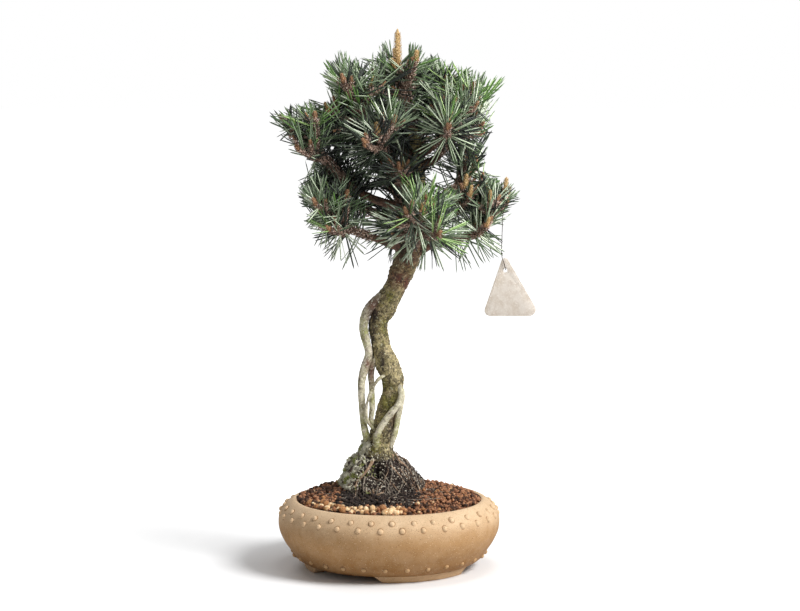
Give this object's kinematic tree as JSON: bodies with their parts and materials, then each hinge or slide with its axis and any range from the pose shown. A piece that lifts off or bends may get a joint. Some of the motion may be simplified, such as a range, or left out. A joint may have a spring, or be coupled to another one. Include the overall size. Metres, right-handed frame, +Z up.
{
  "type": "japanese black pine bonsai in a round drum pot",
  "caption": "Potted pine bonsai with a curved trunk on exposed roots, tufts of short needles with upright candles, and a round bowl with rings of nail heads on low feet.",
  "frame": {"origin": "bottom centre of the whole part's box, at the level of the table that the pot stands on", "axes": "+Z up, -Y towards the viewer of the picture, +X to that viewer's right"},
  "size_m": [0.2656, 0.2208, 0.533],
  "materials": {
    "stoneware": "unglazed sand-coloured stoneware with a fine speckle",
    "soil": "loose fired-clay granules",
    "root_fibre": "matted dark root fibre with moss",
    "bark": "flaky bark with grey-green lichen",
    "bough_bark": "scaly reddish-brown bark",
    "root_bark": "smooth pale root bark",
    "needles": "stiff dark green needles on scaly twigs",
    "card": "bare cream card",
    "thread": "thin dark thread"
  },
  "bodies": {
    "root": {"bough_back_left": "bough_bark", "bough_back_low": "bough_bark", "bough_back_mid": "bough_bark", "bough_back_right": "bough_bark", "bough_centre": "bough_bark", "bough_centre_low": "bough_bark", "bough_far_left": "bough_bark", "bough_front_low": "bough_bark", "bough_left_back": "bough_bark", "bough_left_low": "bough_bark", "bough_right_back": "bough_bark", "bough_right_low": "bough_bark", "bough_right_mid": "bough_bark", "bough_right_side": "bough_bark", "bough_upper_left": "bough_bark", "bough_upper_right": "bough_bark", "foliage_back_left": "needles", "foliage_back_low": "needles", "foliage_back_mid": "needles", "foliage_back_right": "needles", "foliage_centre": "needles", "foliage_centre_low": "needles", "foliage_far_left": "needles", "foliage_front_low": "needles", "foliage_leader": "needles", "foliage_left_back": "needles", "foliage_left_low": "needles", "foliage_right_back": "needles", "foliage_right_low": "needles", "foliage_right_mid": "needles", "foliage_right_side": "needles", "foliage_upper_left": "needles", "foliage_upper_right": "needles", "hang_tag": "card", "pot": "stoneware", "pot_foot_back": "stoneware", "pot_foot_left": "stoneware", "pot_foot_right": "stoneware", "root_arching": "root_bark", "root_front": "root_bark", "root_left_inner": "root_bark", "root_left_outer": "root_bark", "root_mound": "root_fibre", "root_right": "root_bark", "soil": "soil", "tag_thread": "thread", "trunk": "bark"}
  },
  "joints": []
}
